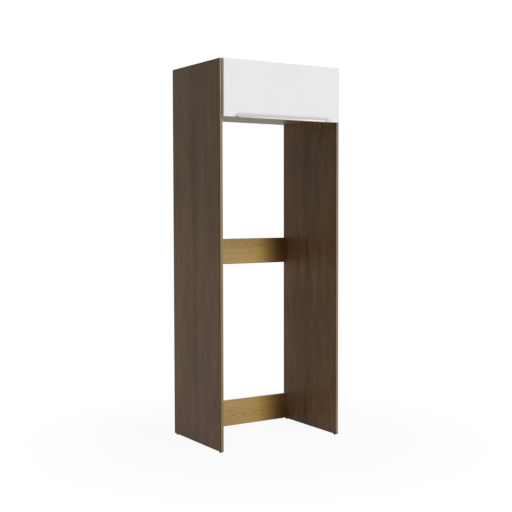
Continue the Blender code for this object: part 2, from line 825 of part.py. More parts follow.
def stay_lever(word, side):
    """The lever from the housing's axle to the elbow, with the axle and the elbow's rivet."""
    left, right = across(side, LEVER_START, LEVER_START + LEVER_THICKNESS)
    outline = bar(LEVER_AXIS.yz, ELBOW.yz, LEVER_END_RADIUS, LEVER_WAIST)
    holes = [
        circle(LEVER_AXIS.yz, AXLE_RADIUS + SEAT, COARSE),
        circle(ELBOW.yz, RIVET_RADIUS + SEAT, SMALL),
    ]
    lever = slab(f"stay_lever_{word}", [outline, *holes], (left, 0, 0), right - left, "X", NICKEL)
    head_start = LEVER_START + LEVER_THICKNESS + SEAT
    axle = headed_pin(
        f"stay_axle_{word}",
        side,
        COVER_START - AXLE_SEAT_DEPTH + SEAT,
        head_start + RIVET_HEAD,
        AXLE_RADIUS,
        AXLE_HEAD_RADIUS,
        RIVET_HEAD,
        LEVER_AXIS.yz,
        COARSE,
    )
    rivet = headed_pin(
        f"elbow_rivet_{word}",
        side,
        LEVER_START,
        RIVET_END,
        RIVET_RADIUS,
        RIVET_HEAD_RADIUS,
        RIVET_HEAD,
        ELBOW.yz,
        SMALL,
    )
    return [lever, axle, rivet]


def stay_link(word, side):
    """The link from the elbow to the door's bracket."""
    left, right = across(side, LINK_START, LINK_START + LINK_THICKNESS)
    outline = bar(ELBOW.yz, DOOR_PIVOT.yz, LINK_END_RADIUS, LINK_WAIST)
    holes = [circle(eye.yz, RIVET_RADIUS + SEAT, SMALL) for eye in (ELBOW, DOOR_PIVOT)]
    return slab(f"stay_link_{word}", [outline, *holes], (left, 0, 0), right - left, "X", NICKEL)


def stay_bracket(word, side):
    """The bracket on the door's rear face, whose ear carries the link's rivet."""
    left, right = across(side, LEVER_START, LEVER_START + LEVER_THICKNESS)
    base = DOOR_REAR + SEAT
    level = DOOR_PIVOT.z
    height = BRACKET_EAR_RADIUS
    ear = [
        (base, level - height),
        *arc(DOOR_PIVOT.yz, height, -pi / 2, pi / 2, SMALL // 2),
        (base, level + height),
    ]
    hole = circle(DOOR_PIVOT.yz, RIVET_RADIUS + SEAT, SMALL)
    bracket = slab(
        f"stay_bracket_{word}", [ear, hole], (left, 0, 0), right - left, "X", NICKEL
    )
    outer, inner = across(side, LEVER_START, LEVER_START + BRACKET_BASE_WIDTH)
    half = BRACKET_BASE_HEIGHT / 2
    outline = round_rectangle((outer, -level - half), (inner, -level + half), BRACKET_ROUNDING)
    middle = (outer + inner + side * -LEVER_THICKNESS) / 2
    pitch = BRACKET_SCREW_PITCH
    holes = [
        circle((middle, -level + up * pitch / 2), BRACKET_SCREW_RADIUS, SMALL) for up in (-1, 1)
    ]
    foot = slab(
        f"bracket_base_{word}",
        [outline, *holes],
        (0, base, 0),
        BRACKET_BASE_THICKNESS,
        "Y",
    )
    boolean(bracket, foot, "UNION")
    rivet = headed_pin(
        f"door_rivet_{word}",
        side,
        LEVER_START,
        RIVET_END,
        RIVET_RADIUS,
        RIVET_HEAD_RADIUS,
        RIVET_HEAD,
        DOOR_PIVOT.yz,
        SMALL,
    )
    return [bracket, rivet]


def build():
    grooves = back_board("back_groove", 0)
    side_panels(grooves)
    boards = fixed_boards(grooves)
    rail_boards = rails()
    bpy.context.view_layer.update()
    cams(boards, rail_boards)
    feet()

    on_door = [door_panel(), *bumpers()]
    on_lever, on_link = [], []
    for word, place in hinge_places().items():
        on_door += [hinge_cup(word, place), hinge_pin(word, place)]
        hinge_arm(word, place)
        mounting_plate(word, place)
    for word, side in SIDES.items():
        stay_housing(word, side)
        on_lever += stay_lever(word, side)
        on_link.append(stay_link(word, side))
        on_door += stay_bracket(word, side)
    carry(axis_empty("door_axis", DOOR_AXIS), on_door)
    carry(axis_empty("lever_axis", LEVER_AXIS), on_lever)
    carry(axis_empty("elbow_axis", ELBOW), on_link)


build()
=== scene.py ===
"""Looks of the fridge housing unit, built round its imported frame: wood decors, the white flap door, the
hinges and lever stays with their screws, a pale floor, soft light and the camera of the photograph.
Metres, +Z up."""

import json
from math import pi, radians

import bpy
from mathutils import Matrix, Vector

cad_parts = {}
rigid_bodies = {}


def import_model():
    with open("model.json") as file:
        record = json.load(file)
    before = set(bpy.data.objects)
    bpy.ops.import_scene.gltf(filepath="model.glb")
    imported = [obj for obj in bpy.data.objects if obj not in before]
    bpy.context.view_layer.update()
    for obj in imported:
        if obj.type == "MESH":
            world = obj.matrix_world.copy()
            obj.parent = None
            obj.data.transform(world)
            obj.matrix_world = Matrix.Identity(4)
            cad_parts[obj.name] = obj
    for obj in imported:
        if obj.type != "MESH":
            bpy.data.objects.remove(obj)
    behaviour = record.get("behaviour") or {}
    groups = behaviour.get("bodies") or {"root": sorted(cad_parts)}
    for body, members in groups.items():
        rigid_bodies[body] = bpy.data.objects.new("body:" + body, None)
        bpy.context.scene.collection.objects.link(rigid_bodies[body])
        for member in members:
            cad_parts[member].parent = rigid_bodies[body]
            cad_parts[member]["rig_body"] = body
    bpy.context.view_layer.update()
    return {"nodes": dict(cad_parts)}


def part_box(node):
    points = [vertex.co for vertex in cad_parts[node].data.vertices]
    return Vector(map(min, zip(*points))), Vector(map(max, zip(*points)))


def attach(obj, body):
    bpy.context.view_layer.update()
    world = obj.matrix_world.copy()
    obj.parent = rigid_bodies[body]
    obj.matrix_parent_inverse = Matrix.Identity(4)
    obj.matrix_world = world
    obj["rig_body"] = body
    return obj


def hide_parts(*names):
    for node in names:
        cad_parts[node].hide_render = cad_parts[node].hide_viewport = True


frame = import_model()

# The camera, as fitted to the photograph: place, turns, focal length and sensor width in millimetres
CAMERA_PLACE = (-2.80692, -4.42478, 1.25178)
CAMERA_YAW = 0.56462
CAMERA_PITCH = -0.04978
CAMERA_ROLL = -0.0019
CAMERA_LENS = 67.26
CAMERA_SENSOR = 36.0

# The light and the floor
WHITE = (1.0, 1.0, 1.0, 1.0)
SKY_LEVEL = 0.30
KEY_LEVEL = 2.05
KEY_ANGLE = radians(20)
KEY_SIDE = radians(14)
KEY_HEIGHT = radians(26)
KEY_PLACE = (1.0, -4.0, 3.0)
FLOOR_SIZE = 60.0
FLOOR_COLOUR = (0.86, 0.86, 0.86)
FLOOR_ROUGHNESS = 0.9
FLOOR_GLOSS = 0.1
FLOOR_SHADE_SHARE = 0.07
FLOOR_NEAR = 0.5
FLOOR_FAR = 1.5

# Edges and joins
MERGE = 0.00002
FLAT_ANGLE = radians(0.6)
EDGE_ANGLE = radians(32)
FRONT_FACING_SHARE = 0.9999
METAL_EDGE = 0.00025
PLASTIC_EDGE = 0.0006

# Screws: head radius and height
PLATE_SCREW = (0.0036, 0.0012)
EAR_SCREW = (0.0031, 0.0010)
ARM_SCREW = (0.0033, 0.0016)
BRACKET_SCREW = (0.0030, 0.0011)
# Where they sit on their pieces
PLATE_SCREW_PITCH = 0.032
PLATE_SCREW_SETBACK = 0.037
PLATE_WING = 0.0022
EAR_SCREW_PITCH = 0.048
BRACKET_SCREW_PITCH = 0.016
BRACKET_SCREW_OFFSET = 0.0015
BRACKET_PLATE = 0.0018
CUP_LAP_RADIUS = 0.0187
EAR_DROP = 0.006
ARM_SLOT_FROM_TAIL = 0.012
# A head's outline, the insets and rises of its dome, and its recess, in head radii and head heights
HEAD_SIDES = 28
HEAD_TOP_FACING = 0.9
DOME_STEPS = ((0.16, 0.10), (0.22, 0.06), (0.24, 0.02))
RECESS_DEPTH_SHARE = 0.55
RECESS_ARM_SHARE = 0.58
RECESS_WIDTH_SHARE = 0.17
RECESS_MIDDLE_SHARE = 1.2
DOWN = (0, 0, -1)
REARWARDS = (0, 1, 0)

panel_low, panel_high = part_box("side_panel_left")
carcass_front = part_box("side_edging_left")[0].y
door_low, door_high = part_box("door_panel")
right_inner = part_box("side_panel_right")[0].x
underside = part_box("bottom_panel")[0].z


# Shader building


def shader_tree(name, metallic=0.0, specular=0.5):
    """A new material with its node tree, its Principled shader and the Object coordinates."""
    made = bpy.data.materials.new(name)
    made.use_nodes = True
    tree = made.node_tree
    shader = tree.nodes["Principled BSDF"]
    shader.inputs["Metallic"].default_value = metallic
    shader.inputs["Specular IOR Level"].default_value = specular
    place = tree.nodes.new("ShaderNodeTexCoord").outputs["Object"]
    return made, tree, shader, place


def feed(tree, made, inputs):
    """Fills a node's inputs: another node's output is linked, and a plain value is set."""
    for key, value in inputs.items():
        if isinstance(value, bpy.types.NodeSocket):
            tree.links.new(value, made.inputs[key])
        else:
            made.inputs[key].default_value = value


def noise(tree, vector, scale=1.0, detail=3.0, roughness=0.55, distortion=0.0):
    made = tree.nodes.new("ShaderNodeTexNoise")
    settings = {
        "Vector": vector,
        "Scale": scale,
        "Detail": detail,
        "Roughness": roughness,
        "Distortion": distortion,
    }
    feed(tree, made, settings)
    return made.outputs["Fac"]


def layer(tree, place, scale, offset=(0, 0, 0), **settings):
    """A layer of noise with its own scale along x, y and z, as grain has."""
    made = tree.nodes.new("ShaderNodeMapping")
    feed(tree, made, {"Vector": place, "Scale": scale, "Location": offset})
    return noise(tree, made.outputs["Vector"], **settings)


def maths(tree, operation, first, second=0.0, third=None):
    made = tree.nodes.new("ShaderNodeMath")
    made.operation = operation
    feed(tree, made, {0: first, 1: second})
    if third is not None:
        feed(tree, made, {2: third})
    return made.outputs["Value"]


def times(tree, first, *others):
    """The product of values."""
    product = first
    for other in others:
        product = maths(tree, "MULTIPLY", product, other)
    return product


def spread(tree, value, low, high, to_low=0.0, to_high=1.0):
    """The value remapped smoothly from one range to another."""
    made = tree.nodes.new("ShaderNodeMapRange")
    made.interpolation_type = "SMOOTHSTEP"
    settings = {"Value": value, "From Min": low, "From Max": high, "To Min": to_low, "To Max": to_high}
    feed(tree, made, settings)
    return made.outputs["Result"]


def past(start, steps):
    """The places that lie these steps past a start."""
    return [start + step for step in steps]


def tinted(tree, share, first, second, blend="MIX"):
    """Two colours mixed by a share. Each may be a socket or three numbers."""
    made = tree.nodes.new("ShaderNodeMix")
    made.data_type = "RGBA"
    made.blend_type = blend
    feed(tree, made, {0: share})
    # The node's two colours are its inputs 6 and 7, and the mixed one is its output 2
    for index, colour in ((6, first), (7, second)):
        if not isinstance(colour, bpy.types.NodeSocket):
            colour = (*colour, 1.0)
        feed(tree, made, {index: colour})
    return made.outputs[2]


def banded(tree, value, stops):
    """A colour ramp over stops of share and colour."""
    made = tree.nodes.new("ShaderNodeValToRGB")
    ramp = made.color_ramp
    while len(ramp.elements) < len(stops):
        ramp.elements.new(0.5)
    for element, (share, colour) in zip(ramp.elements, stops):
        element.position = share
        element.color = (*colour, 1.0)
    feed(tree, made, {"Fac": value})
    return made.outputs["Color"]


def shaded(tree, colour, shade):
    """A colour made lighter or darker by a value."""
    grey = tree.nodes.new("ShaderNodeCombineColor")
    feed(tree, grey, {0: shade, 1: shade, 2: shade})
    return tinted(tree, 1.0, colour, grey.outputs["Color"], "MULTIPLY")


def bumped(tree, shader, height, distance, strength):
    made = tree.nodes.new("ShaderNodeBump")
    feed(tree, made, {"Height": height, "Distance": distance, "Strength": strength})
    feed(tree, shader, {"Normal": made.outputs["Normal"]})


def parted(tree, place):
    made = tree.nodes.new("ShaderNodeSeparateXYZ")
    feed(tree, made, {"Vector": place})
    return made.outputs["X"], made.outputs["Y"], made.outputs["Z"]


# Wood figure, shared by the two decors

OUTLINE_CORE = 0.15
LINE_RELIEF = 0.35
WOOD_RELIEF = (0.00010, 0.5)


def off_outline(tree, along, low, high, reach):
    """0 at the two ends of a board's direction and 1 on the face between them, over a narrow reach."""
    from_low = maths(tree, "SUBTRACT", along, low)
    from_high = maths(tree, "SUBTRACT", high, along)
    return spread(tree, maths(tree, "MINIMUM", from_low, from_high), reach * OUTLINE_CORE, reach)


def growth_rings(tree, along, across, slope, tip, fan, rings_per_metre):
    """How far a point lies through its growth ring, from 0 to 1. The rings are cut at a slope, so that they
    make a row of narrow arches along the board, with rounded tips, and straight lines beside them."""
    squared = maths(tree, "MULTIPLY_ADD", across, across, tip ** 2)
    arch = times(tree, maths(tree, "SQRT", squared), fan)
    # The 1 keeps the count of rings above zero at both ends of the board
    tilted = maths(tree, "MULTIPLY_ADD", along, slope, 1.0)
    rings = times(tree, maths(tree, "ADD", arch, tilted), rings_per_metre)
    return maths(tree, "FRACT", rings)


def wood_relief(tree, shader, lines, pores):
    """Shallow grain lines, with the pores sunk into them."""
    relief = maths(tree, "SUBTRACT", times(tree, lines, LINE_RELIEF), pores)
    bumped(tree, shader, relief, *WOOD_RELIEF)


# Walnut decor. A layer of noise has a scale along x, y and z. A STEP is the range over which a value is
# read, and what it gives at the two ends of that range: 0 and 1, unless it says otherwise. A SHADE or a
# WANDER is what a value is multiplied by, and what is then added to it

WALNUT_GLOSS = 0.12
WALNUT_DEEP = (0.156, 0.087, 0.040)
WALNUT_LIGHT = (0.204, 0.120, 0.058)
WALNUT_RED = (0.190, 0.096, 0.054)
WALNUT_OLIVE = (0.166, 0.113, 0.051)
WALNUT_BROAD = {"scale": (6, 12, 2.2), "detail": 3, "distortion": 0.6}
WALNUT_HUE = {"scale": (7, 15, 4.6), "offset": (3, 1, 7), "detail": 3, "distortion": 0.5}
WALNUT_STREAKS = {"scale": (22, 38, 4.2), "offset": (1, 4, 3), "detail": 4, "distortion": 0.8}
WALNUT_DASHES = {"scale": (14, 17, 80), "offset": (2, 5, 1), "detail": 1}
WALNUT_LINES = {"scale": (90, 150, 3.6), "detail": 6, "roughness": 0.65}
WALNUT_PORES = {"scale": (700, 900, 22), "detail": 2}
WALNUT_FLECKS = {"scale": (38, 60, 11), "offset": (6, 2, 5), "detail": 2, "distortion": 0.4}
WALNUT_BROAD_STEP = (0.34, 0.66)
WALNUT_OLIVE_STEP = (0.52, 0.66, 0.0, 0.60)
WALNUT_RED_STEP = (0.48, 0.34, 0.0, 0.60)
WALNUT_LINE_STEP = (0.3, 0.7)
WALNUT_LINE_SHADE = (0.22, 0.88)
WALNUT_STREAK_STEP = (0.30, 0.70, 0.88, 1.11)
WALNUT_FLECK_STEP = (0.64, 0.74, 1.0, 0.82)
WALNUT_PORE_STEP = (0.60, 0.72)
WALNUT_PORE_DEPTH_STEP = (0.0, 1.0, 1.0, 0.78)
WALNUT_ROUGHNESS_STEP = (0.25, 0.75, 0.36, 0.50)

# Its faint arches: where their heart runs and how it wanders, their shape, and how dark their late wood is
# at the heart and away from it. Short dark dashes lie across the heart
WALNUT_HEART = 0.033
WALNUT_DRIFT = {"scale": (2, 9, 1.5), "offset": (2, 8, 1), "detail": 3, "roughness": 0.5}
WALNUT_WANDER = (0.10, -0.05)
WALNUT_SIDE_SHIFT = 0.16
WALNUT_ARCH = {"slope": 0.11, "tip": 0.014, "fan": 1.0, "rings_per_metre": 100}
WALNUT_LATE_STEP = (0.50, 0.92)
WALNUT_LATE_DEPTH_STEP = (0.0, 0.055, 0.30, 0.10)
WALNUT_EARLY_SHADE = 1.03
WALNUT_DASH_STEP = (0.60, 0.70, 0.0, 0.22)
WALNUT_DASH_REACH_STEP = (0.015, 0.035, 1.0, 0.0)

# Its shades and tints by place, as the photograph has them: at the outline, up the panel, round a paler
# height, along the heart, towards the rear and the front, on the right panel and under the cupboard
WALNUT_EDGE = 0.015
WALNUT_EDGE_STEP = (0.0, 1.0, 0.36, 1.0)
WALNUT_END = 0.007
WALNUT_END_STEP = (0.0, 1.0, 0.24, 1.0)
WALNUT_FOOT_TINT = (1.0, 0.990, 1.150)
WALNUT_HEAD_TINT = (1.0, 0.960, 0.880)
WALNUT_TINT_STEP = (0.45, 1.25)
WALNUT_HEIGHT_STEP = (0.75, 1.65, 1.02, 0.72)
WALNUT_PALE_HEIGHT = 0.93
WALNUT_PALE_STEP = (0.02, 0.24, 1.13, 1.0)
WALNUT_HEART_STEP = (0.01, 0.06, 0.89, 1.0)
WALNUT_REAR_STEP = (0.05, 0.20, 1.0, 1.07)
LEFT_TO_RIGHT = (-0.1, 0.1)
WALNUT_RIGHT_SHADE = (0.12, 0.95)
WALNUT_FRONT_TINT = (1.060, 1.085, 0.960)
WALNUT_FRONT_STEP = (0.05, -0.20)
# Painted light high on the right panel, lifting the shade that falls under the cupboard
WALNUT_PAINTED_LIGHT_STEP = (1.50, 1.74)
WALNUT_PAINTED_LIGHT_SHADE = (0.20, 1.0)

# Painted warm bounce light on the right panel's inner face, close under the cupboard, where shade falls.
# It ends within the panel's thickness, below and above the underside, and towards the front and the rear
PAINTED_BOUNCE_TINT = (1.760, 1.580, 1.100)
PAINTED_BOUNCE_THROUGH = (0.006, 0.002)
PAINTED_BOUNCE_BELOW = (-0.060, -0.004)
PAINTED_BOUNCE_ABOVE = (0.010, 0.002)
PAINTED_BOUNCE_FRONT_STEP = (-0.26, -0.10)
PAINTED_BOUNCE_REAR_STEP = (0.22, 0.12)


def walnut():
    """Dark walnut decor with upright grain: broad olive and redder streaks, faint arches with short dashes
    along their heart, fine lines, dark flecks and pores. Both panels are darker at their outline and
    towards the top, and paler at one height. The right one is a little lighter and golden at its front.
    High up under the cupboard it takes painted light, and close under the cupboard a painted warm bounce
    light on its inner face, where shade falls."""
    made, tree, shader, place = shader_tree("walnut_decor", specular=WALNUT_GLOSS)
    side, depth, height = parted(tree, place)
    right_board = spread(tree, side, *LEFT_TO_RIGHT)
    lines = layer(tree, place, **WALNUT_LINES)
    pores = spread(tree, layer(tree, place, **WALNUT_PORES), *WALNUT_PORE_STEP)

    wander = maths(tree, "MULTIPLY_ADD", layer(tree, place, **WALNUT_DRIFT), *WALNUT_WANDER)
    across = maths(tree, "ADD", maths(tree, "SUBTRACT", depth, WALNUT_HEART), wander)
    along = maths(tree, "MULTIPLY_ADD", side, WALNUT_SIDE_SHIFT, height)
    through = growth_rings(tree, along, across, **WALNUT_ARCH)
    off_heart = maths(tree, "ABSOLUTE", across)
    late_depth = spread(tree, off_heart, *WALNUT_LATE_DEPTH_STEP)
    late = times(tree, spread(tree, through, *WALNUT_LATE_STEP), late_depth)
    dash_depth = spread(tree, layer(tree, place, **WALNUT_DASHES), *WALNUT_DASH_STEP)
    dash = times(tree, dash_depth, spread(tree, off_heart, *WALNUT_DASH_REACH_STEP))

    broad = layer(tree, place, **WALNUT_BROAD)
    hue = layer(tree, place, **WALNUT_HUE)
    base = tinted(tree, spread(tree, broad, *WALNUT_BROAD_STEP), WALNUT_DEEP, WALNUT_LIGHT)
    base = tinted(tree, spread(tree, hue, *WALNUT_OLIVE_STEP), base, WALNUT_OLIVE)
    base = tinted(tree, spread(tree, hue, *WALNUT_RED_STEP), base, WALNUT_RED)
    tint = tinted(tree, spread(tree, height, *WALNUT_TINT_STEP), WALNUT_FOOT_TINT, WALNUT_HEAD_TINT)
    base = tinted(tree, 1.0, base, tint, "MULTIPLY")
    front = times(tree, spread(tree, depth, *WALNUT_FRONT_STEP), right_board)
    base = tinted(tree, front, base, WALNUT_FRONT_TINT, "MULTIPLY")
    # Painted warm bounce light on the right panel's inner face, close under the cupboard
    painted_bounce = times(
        tree,
        right_board,
        spread(tree, side, *past(right_inner, PAINTED_BOUNCE_THROUGH)),
        spread(tree, height, *past(underside, PAINTED_BOUNCE_BELOW)),
        spread(tree, height, *past(underside, PAINTED_BOUNCE_ABOVE)),
        spread(tree, depth, *PAINTED_BOUNCE_FRONT_STEP),
        spread(tree, depth, *PAINTED_BOUNCE_REAR_STEP),
    )
    base = tinted(tree, painted_bounce, base, PAINTED_BOUNCE_TINT, "MULTIPLY")

    off_edge = off_outline(tree, depth, panel_low.y, panel_high.y, WALNUT_EDGE)
    off_end = off_outline(tree, height, panel_low.z, panel_high.z, WALNUT_END)
    from_pale = maths(tree, "ABSOLUTE", maths(tree, "SUBTRACT", height, WALNUT_PALE_HEIGHT))
    # Painted light high on the right panel, under the cupboard
    painted_light_upper_right = times(tree, spread(tree, height, *WALNUT_PAINTED_LIGHT_STEP), right_board)
    shade = times(
        tree,
        maths(tree, "MULTIPLY_ADD", spread(tree, lines, *WALNUT_LINE_STEP), *WALNUT_LINE_SHADE),
        spread(tree, layer(tree, place, **WALNUT_STREAKS), *WALNUT_STREAK_STEP),
        spread(tree, layer(tree, place, **WALNUT_FLECKS), *WALNUT_FLECK_STEP),
        maths(tree, "SUBTRACT", WALNUT_EARLY_SHADE, late),
        maths(tree, "SUBTRACT", 1.0, dash),
        spread(tree, pores, *WALNUT_PORE_DEPTH_STEP),
        spread(tree, off_edge, *WALNUT_EDGE_STEP),
        spread(tree, off_end, *WALNUT_END_STEP),
        spread(tree, height, *WALNUT_HEIGHT_STEP),
        spread(tree, from_pale, *WALNUT_PALE_STEP),
        spread(tree, off_heart, *WALNUT_HEART_STEP),
        spread(tree, depth, *WALNUT_REAR_STEP),
        maths(tree, "MULTIPLY_ADD", right_board, *WALNUT_RIGHT_SHADE),
        maths(tree, "MULTIPLY_ADD", painted_light_upper_right, *WALNUT_PAINTED_LIGHT_SHADE),
    )
    rough = spread(tree, lines, *WALNUT_ROUGHNESS_STEP)
    feed(tree, shader, {"Base Color": shaded(tree, base, shade), "Roughness": rough})
    wood_relief(tree, shader, lines, pores)
    return made


# Golden oak decor of the two rails, with a growth ring's colours from its early wood to its late wood

OAK_GLOSS = 0.2
OAK_LIGHT = (0.455, 0.307, 0.121)
OAK_DEEP = (0.398, 0.268, 0.103)
OAK_EARLY = (0.462, 0.316, 0.130)
OAK_MIDDLE = (0.402, 0.268, 0.099)
OAK_LATE = (0.222, 0.128, 0.041)
OAK_RING = ((0.0, OAK_EARLY), (0.55, OAK_MIDDLE), (0.82, OAK_LATE), (0.90, OAK_LATE), (1.0, OAK_EARLY))
OAK_ARCH = {"slope": 0.14, "tip": 0.005, "fan": 1.3}
OAK_DRIFT = {"scale": (2.2, 30, 20), "detail": 3, "roughness": 0.5}
OAK_WANDER = (0.024, -0.012)
OAK_FIGURE_STEP = (0.004, 0.020, 1.0, 0.62)
OAK_LINES = {"scale": (2.0, 160, 130), "detail": 6, "roughness": 0.65}
OAK_PORES = {"scale": (14, 600, 420), "detail": 2}
OAK_CLOUD = {"scale": (3, 3, 3), "offset": (9, 2, 4), "detail": 2}
OAK_CLOUD_STEP = (0.35, 0.65)
OAK_LINE_STEP = (0.3, 0.7)
OAK_LINE_SHADE = (0.20, 0.89)
OAK_PORE_STEP = (0.60, 0.72)
OAK_PORE_DEPTH_STEP = (0.0, 1.0, 1.0, 0.72)
OAK_ROUGHNESS_STEP = (0.25, 0.75, 0.42, 0.58)
OAK_EDGE = 0.005
OAK_EDGE_STEP = (0.0, 1.0, 0.62, 1.0)
# Towards the right end it takes a painted shadow of the right panel, first a warm amber penumbra and then
# dark shade, between these shares of half the run
OAK_PENUMBRA = (0.418, 0.258, 0.050)
OAK_PENUMBRA_FROM = 0.10
OAK_PENUMBRA_TO = 0.60
OAK_PENUMBRA_SHARE = 0.6
OAK_SHADOW = (0.154, 0.064, 0.020)
OAK_SHADOW_FROM = 0.42
OAK_SHADOW_TO = 0.95
# A paler band along the upper edge, partly the edge's own paler tone and partly painted light from above
RAIL_TOP_TONE_AND_LIGHT = (0.640, 0.585, 0.450)
RAIL_TOP_REACH = (-0.0005, -0.0002)


def oak(name, low, high, heart_height, rings_per_metre, shadow_share, foot_shade, head_shade):
    """Golden wood decor with level grain. The figure is cut from slightly tilted growth rings, so that it
    makes a row of narrow arches along the rail and level lines beside them, with fine lines and pores on
    top. Each rail is shaded a little from foot to head and darker at its outline, its upper edge has a
    paler band, partly its own tone and partly painted light from above, and towards one end it takes a
    painted shadow of the right panel, amber and then dark."""
    made, tree, shader, place = shader_tree(name, specular=OAK_GLOSS)
    run, _, rise = parted(tree, place)
    lines = layer(tree, place, **OAK_LINES)
    pores = spread(tree, layer(tree, place, **OAK_PORES), *OAK_PORE_STEP)

    centre = low.z + heart_height * (high.z - low.z)
    wander = maths(tree, "MULTIPLY_ADD", layer(tree, place, **OAK_DRIFT), *OAK_WANDER)
    across = maths(tree, "ADD", maths(tree, "SUBTRACT", rise, centre), wander)
    through = growth_rings(tree, run, across, rings_per_metre=rings_per_metre, **OAK_ARCH)
    figure = banded(tree, through, OAK_RING)

    cloud = spread(tree, layer(tree, place, **OAK_CLOUD), *OAK_CLOUD_STEP)
    plain = tinted(tree, cloud, OAK_LIGHT, OAK_DEEP)
    off_heart = maths(tree, "ABSOLUTE", across)
    base = tinted(tree, spread(tree, off_heart, *OAK_FIGURE_STEP), plain, figure)
    # Painted shadow of the right panel on the rail's right end: a warm amber penumbra, then dark shade
    amber = spread(tree, run, OAK_PENUMBRA_FROM * high.x, OAK_PENUMBRA_TO * high.x, 0.0, OAK_PENUMBRA_SHARE)
    base = tinted(tree, amber, base, OAK_PENUMBRA)
    # This share is painted shade, the dark core of that shadow, and not heart wood
    heart = spread(tree, run, OAK_SHADOW_FROM * high.x, OAK_SHADOW_TO * high.x, 0.0, shadow_share)
    base = tinted(tree, heart, base, OAK_SHADOW)

    off_edge = off_outline(tree, rise, low.z, high.z, OAK_EDGE)
    shade = times(
        tree,
        maths(tree, "MULTIPLY_ADD", spread(tree, lines, *OAK_LINE_STEP), *OAK_LINE_SHADE),
        spread(tree, pores, *OAK_PORE_DEPTH_STEP),
        spread(tree, rise, low.z, high.z, foot_shade, head_shade),
        spread(tree, off_edge, *OAK_EDGE_STEP),
    )
    # The rail's top: its own paler tone with painted light from above
    top = spread(tree, rise, *past(high.z, RAIL_TOP_REACH))
    colour = tinted(tree, top, shaded(tree, base, shade), RAIL_TOP_TONE_AND_LIGHT)
    feed(tree, shader, {"Base Color": colour, "Roughness": spread(tree, lines, *OAK_ROUGHNESS_STEP)})
    wood_relief(tree, shader, lines, pores)
    return made


# Edge bands on the side panels

BAND_GLOSS = 0.2
BAND_DEEP = (0.187, 0.133, 0.060)
BAND_LIGHT = (0.250, 0.184, 0.090)
BAND_GOLD = (0.235, 0.169, 0.070)
BAND_PALE = (0.293, 0.223, 0.134)
# Painted light on the band beside the door, lifting the shadow the door casts on it
BAND_PAINTED_LIGHT = (0.400, 0.312, 0.205)
BAND_LINES = {"scale": (260, 120, 3), "detail": 5, "roughness": 0.6}
BAND_PATCH = {"scale": (20, 20, 4), "detail": 2}
BAND_LINE_STEP = (0.3, 0.7)
BAND_GOLD_STEP = (0.4, 0.6, 0.0, 0.35)
BAND_PALE_STEP = (0.2, 1.6, 0.0, 0.75)
BAND_PAINTED_LIGHT_BELOW_DOOR = 0.02
BAND_PAINTED_LIGHT_FULL = 1.95
BAND_PAINTED_LIGHT_SHARE = 0.75
BAND_RIGHT_SHARE = 0.30
BAND_FOOT = 0.008
BAND_FOOT_SHADE = 0.25
BAND_ROUGHNESS_STEP = (0.2, 0.8, 0.42, 0.55)
BAND_RELIEF = (0.00005, 0.4)


def edge_band():
    """Tan edge band with faint upright grain, more golden low down and paler towards the top, with painted
    light beside the door that lifts the door's shadow on it. The right band is deeper, and both end in a
    dark foot."""
    made, tree, shader, place = shader_tree("tan_edge_band", specular=BAND_GLOSS)
    side, _, height = parted(tree, place)
    lines = layer(tree, place, **BAND_LINES)
    patch = layer(tree, place, **BAND_PATCH)
    beside_door = (door_low.z - BAND_PAINTED_LIGHT_BELOW_DOOR, BAND_PAINTED_LIGHT_FULL)
    base = tinted(tree, spread(tree, lines, *BAND_LINE_STEP), BAND_DEEP, BAND_LIGHT)
    base = tinted(tree, spread(tree, patch, *BAND_GOLD_STEP), base, BAND_GOLD)
    base = tinted(tree, spread(tree, height, *BAND_PALE_STEP), base, BAND_PALE)
    # Painted light beside the door, where the door's shadow falls on the band
    base = tinted(tree, spread(tree, height, *beside_door, 0.0, BAND_PAINTED_LIGHT_SHARE), base, BAND_PAINTED_LIGHT)
    base = tinted(tree, spread(tree, side, *LEFT_TO_RIGHT, 0.0, BAND_RIGHT_SHARE), base, BAND_DEEP)
    foot = spread(tree, height, panel_low.z, panel_low.z + BAND_FOOT, BAND_FOOT_SHADE, 1.0)
    rough = spread(tree, lines, *BAND_ROUGHNESS_STEP)
    feed(tree, shader, {"Base Color": shaded(tree, base, foot), "Roughness": rough})
    bumped(tree, shader, lines, *BAND_RELIEF)
    return made


# Faced boards of the cupboard

FACING_GRAIN = 900.0
FACING_GLOSS = 0.40
FACING_PEARL = {"detail": 2, "roughness": 0.6}
FACING_CLOUD = {"scale": 5.0, "detail": 3}
FACING_CLOUD_STEP = (0.35, 0.65)
FACING_PEARL_STEP = (0.55, 0.75, 0.0, 0.12)
FACING_SHINE_STEP = (0.3, 0.7)
FACING_SMOOTHEST = 0.38
FACING_ROUGHEST = 0.54
FACING_RELIEF = (0.00004, 0.35)


def melamine(name, light, dark, grain=FACING_GRAIN, roughest=FACING_ROUGHEST, specular=FACING_GLOSS):
    """Melamine board facing: a fine pearl texture with the faintest cloudiness and a satin shine."""
    made, tree, shader, place = shader_tree(name, specular=specular)
    pearl = noise(tree, place, scale=grain, **FACING_PEARL)
    cloud = noise(tree, place, **FACING_CLOUD)
    base = tinted(tree, spread(tree, cloud, *FACING_CLOUD_STEP), dark, light)
    base = tinted(tree, spread(tree, pearl, *FACING_PEARL_STEP), base, dark)
    rough = spread(tree, pearl, *FACING_SHINE_STEP, FACING_SMOOTHEST, roughest)
    feed(tree, shader, {"Base Color": base, "Roughness": rough})
    bumped(tree, shader, pearl, *FACING_RELIEF)
    return made


# The door's front. The milled pull is found by how far a point lies behind the front, above the lower edge
# and before the rear, and its lip lies lowest. The last steps run along the pull, from left to right

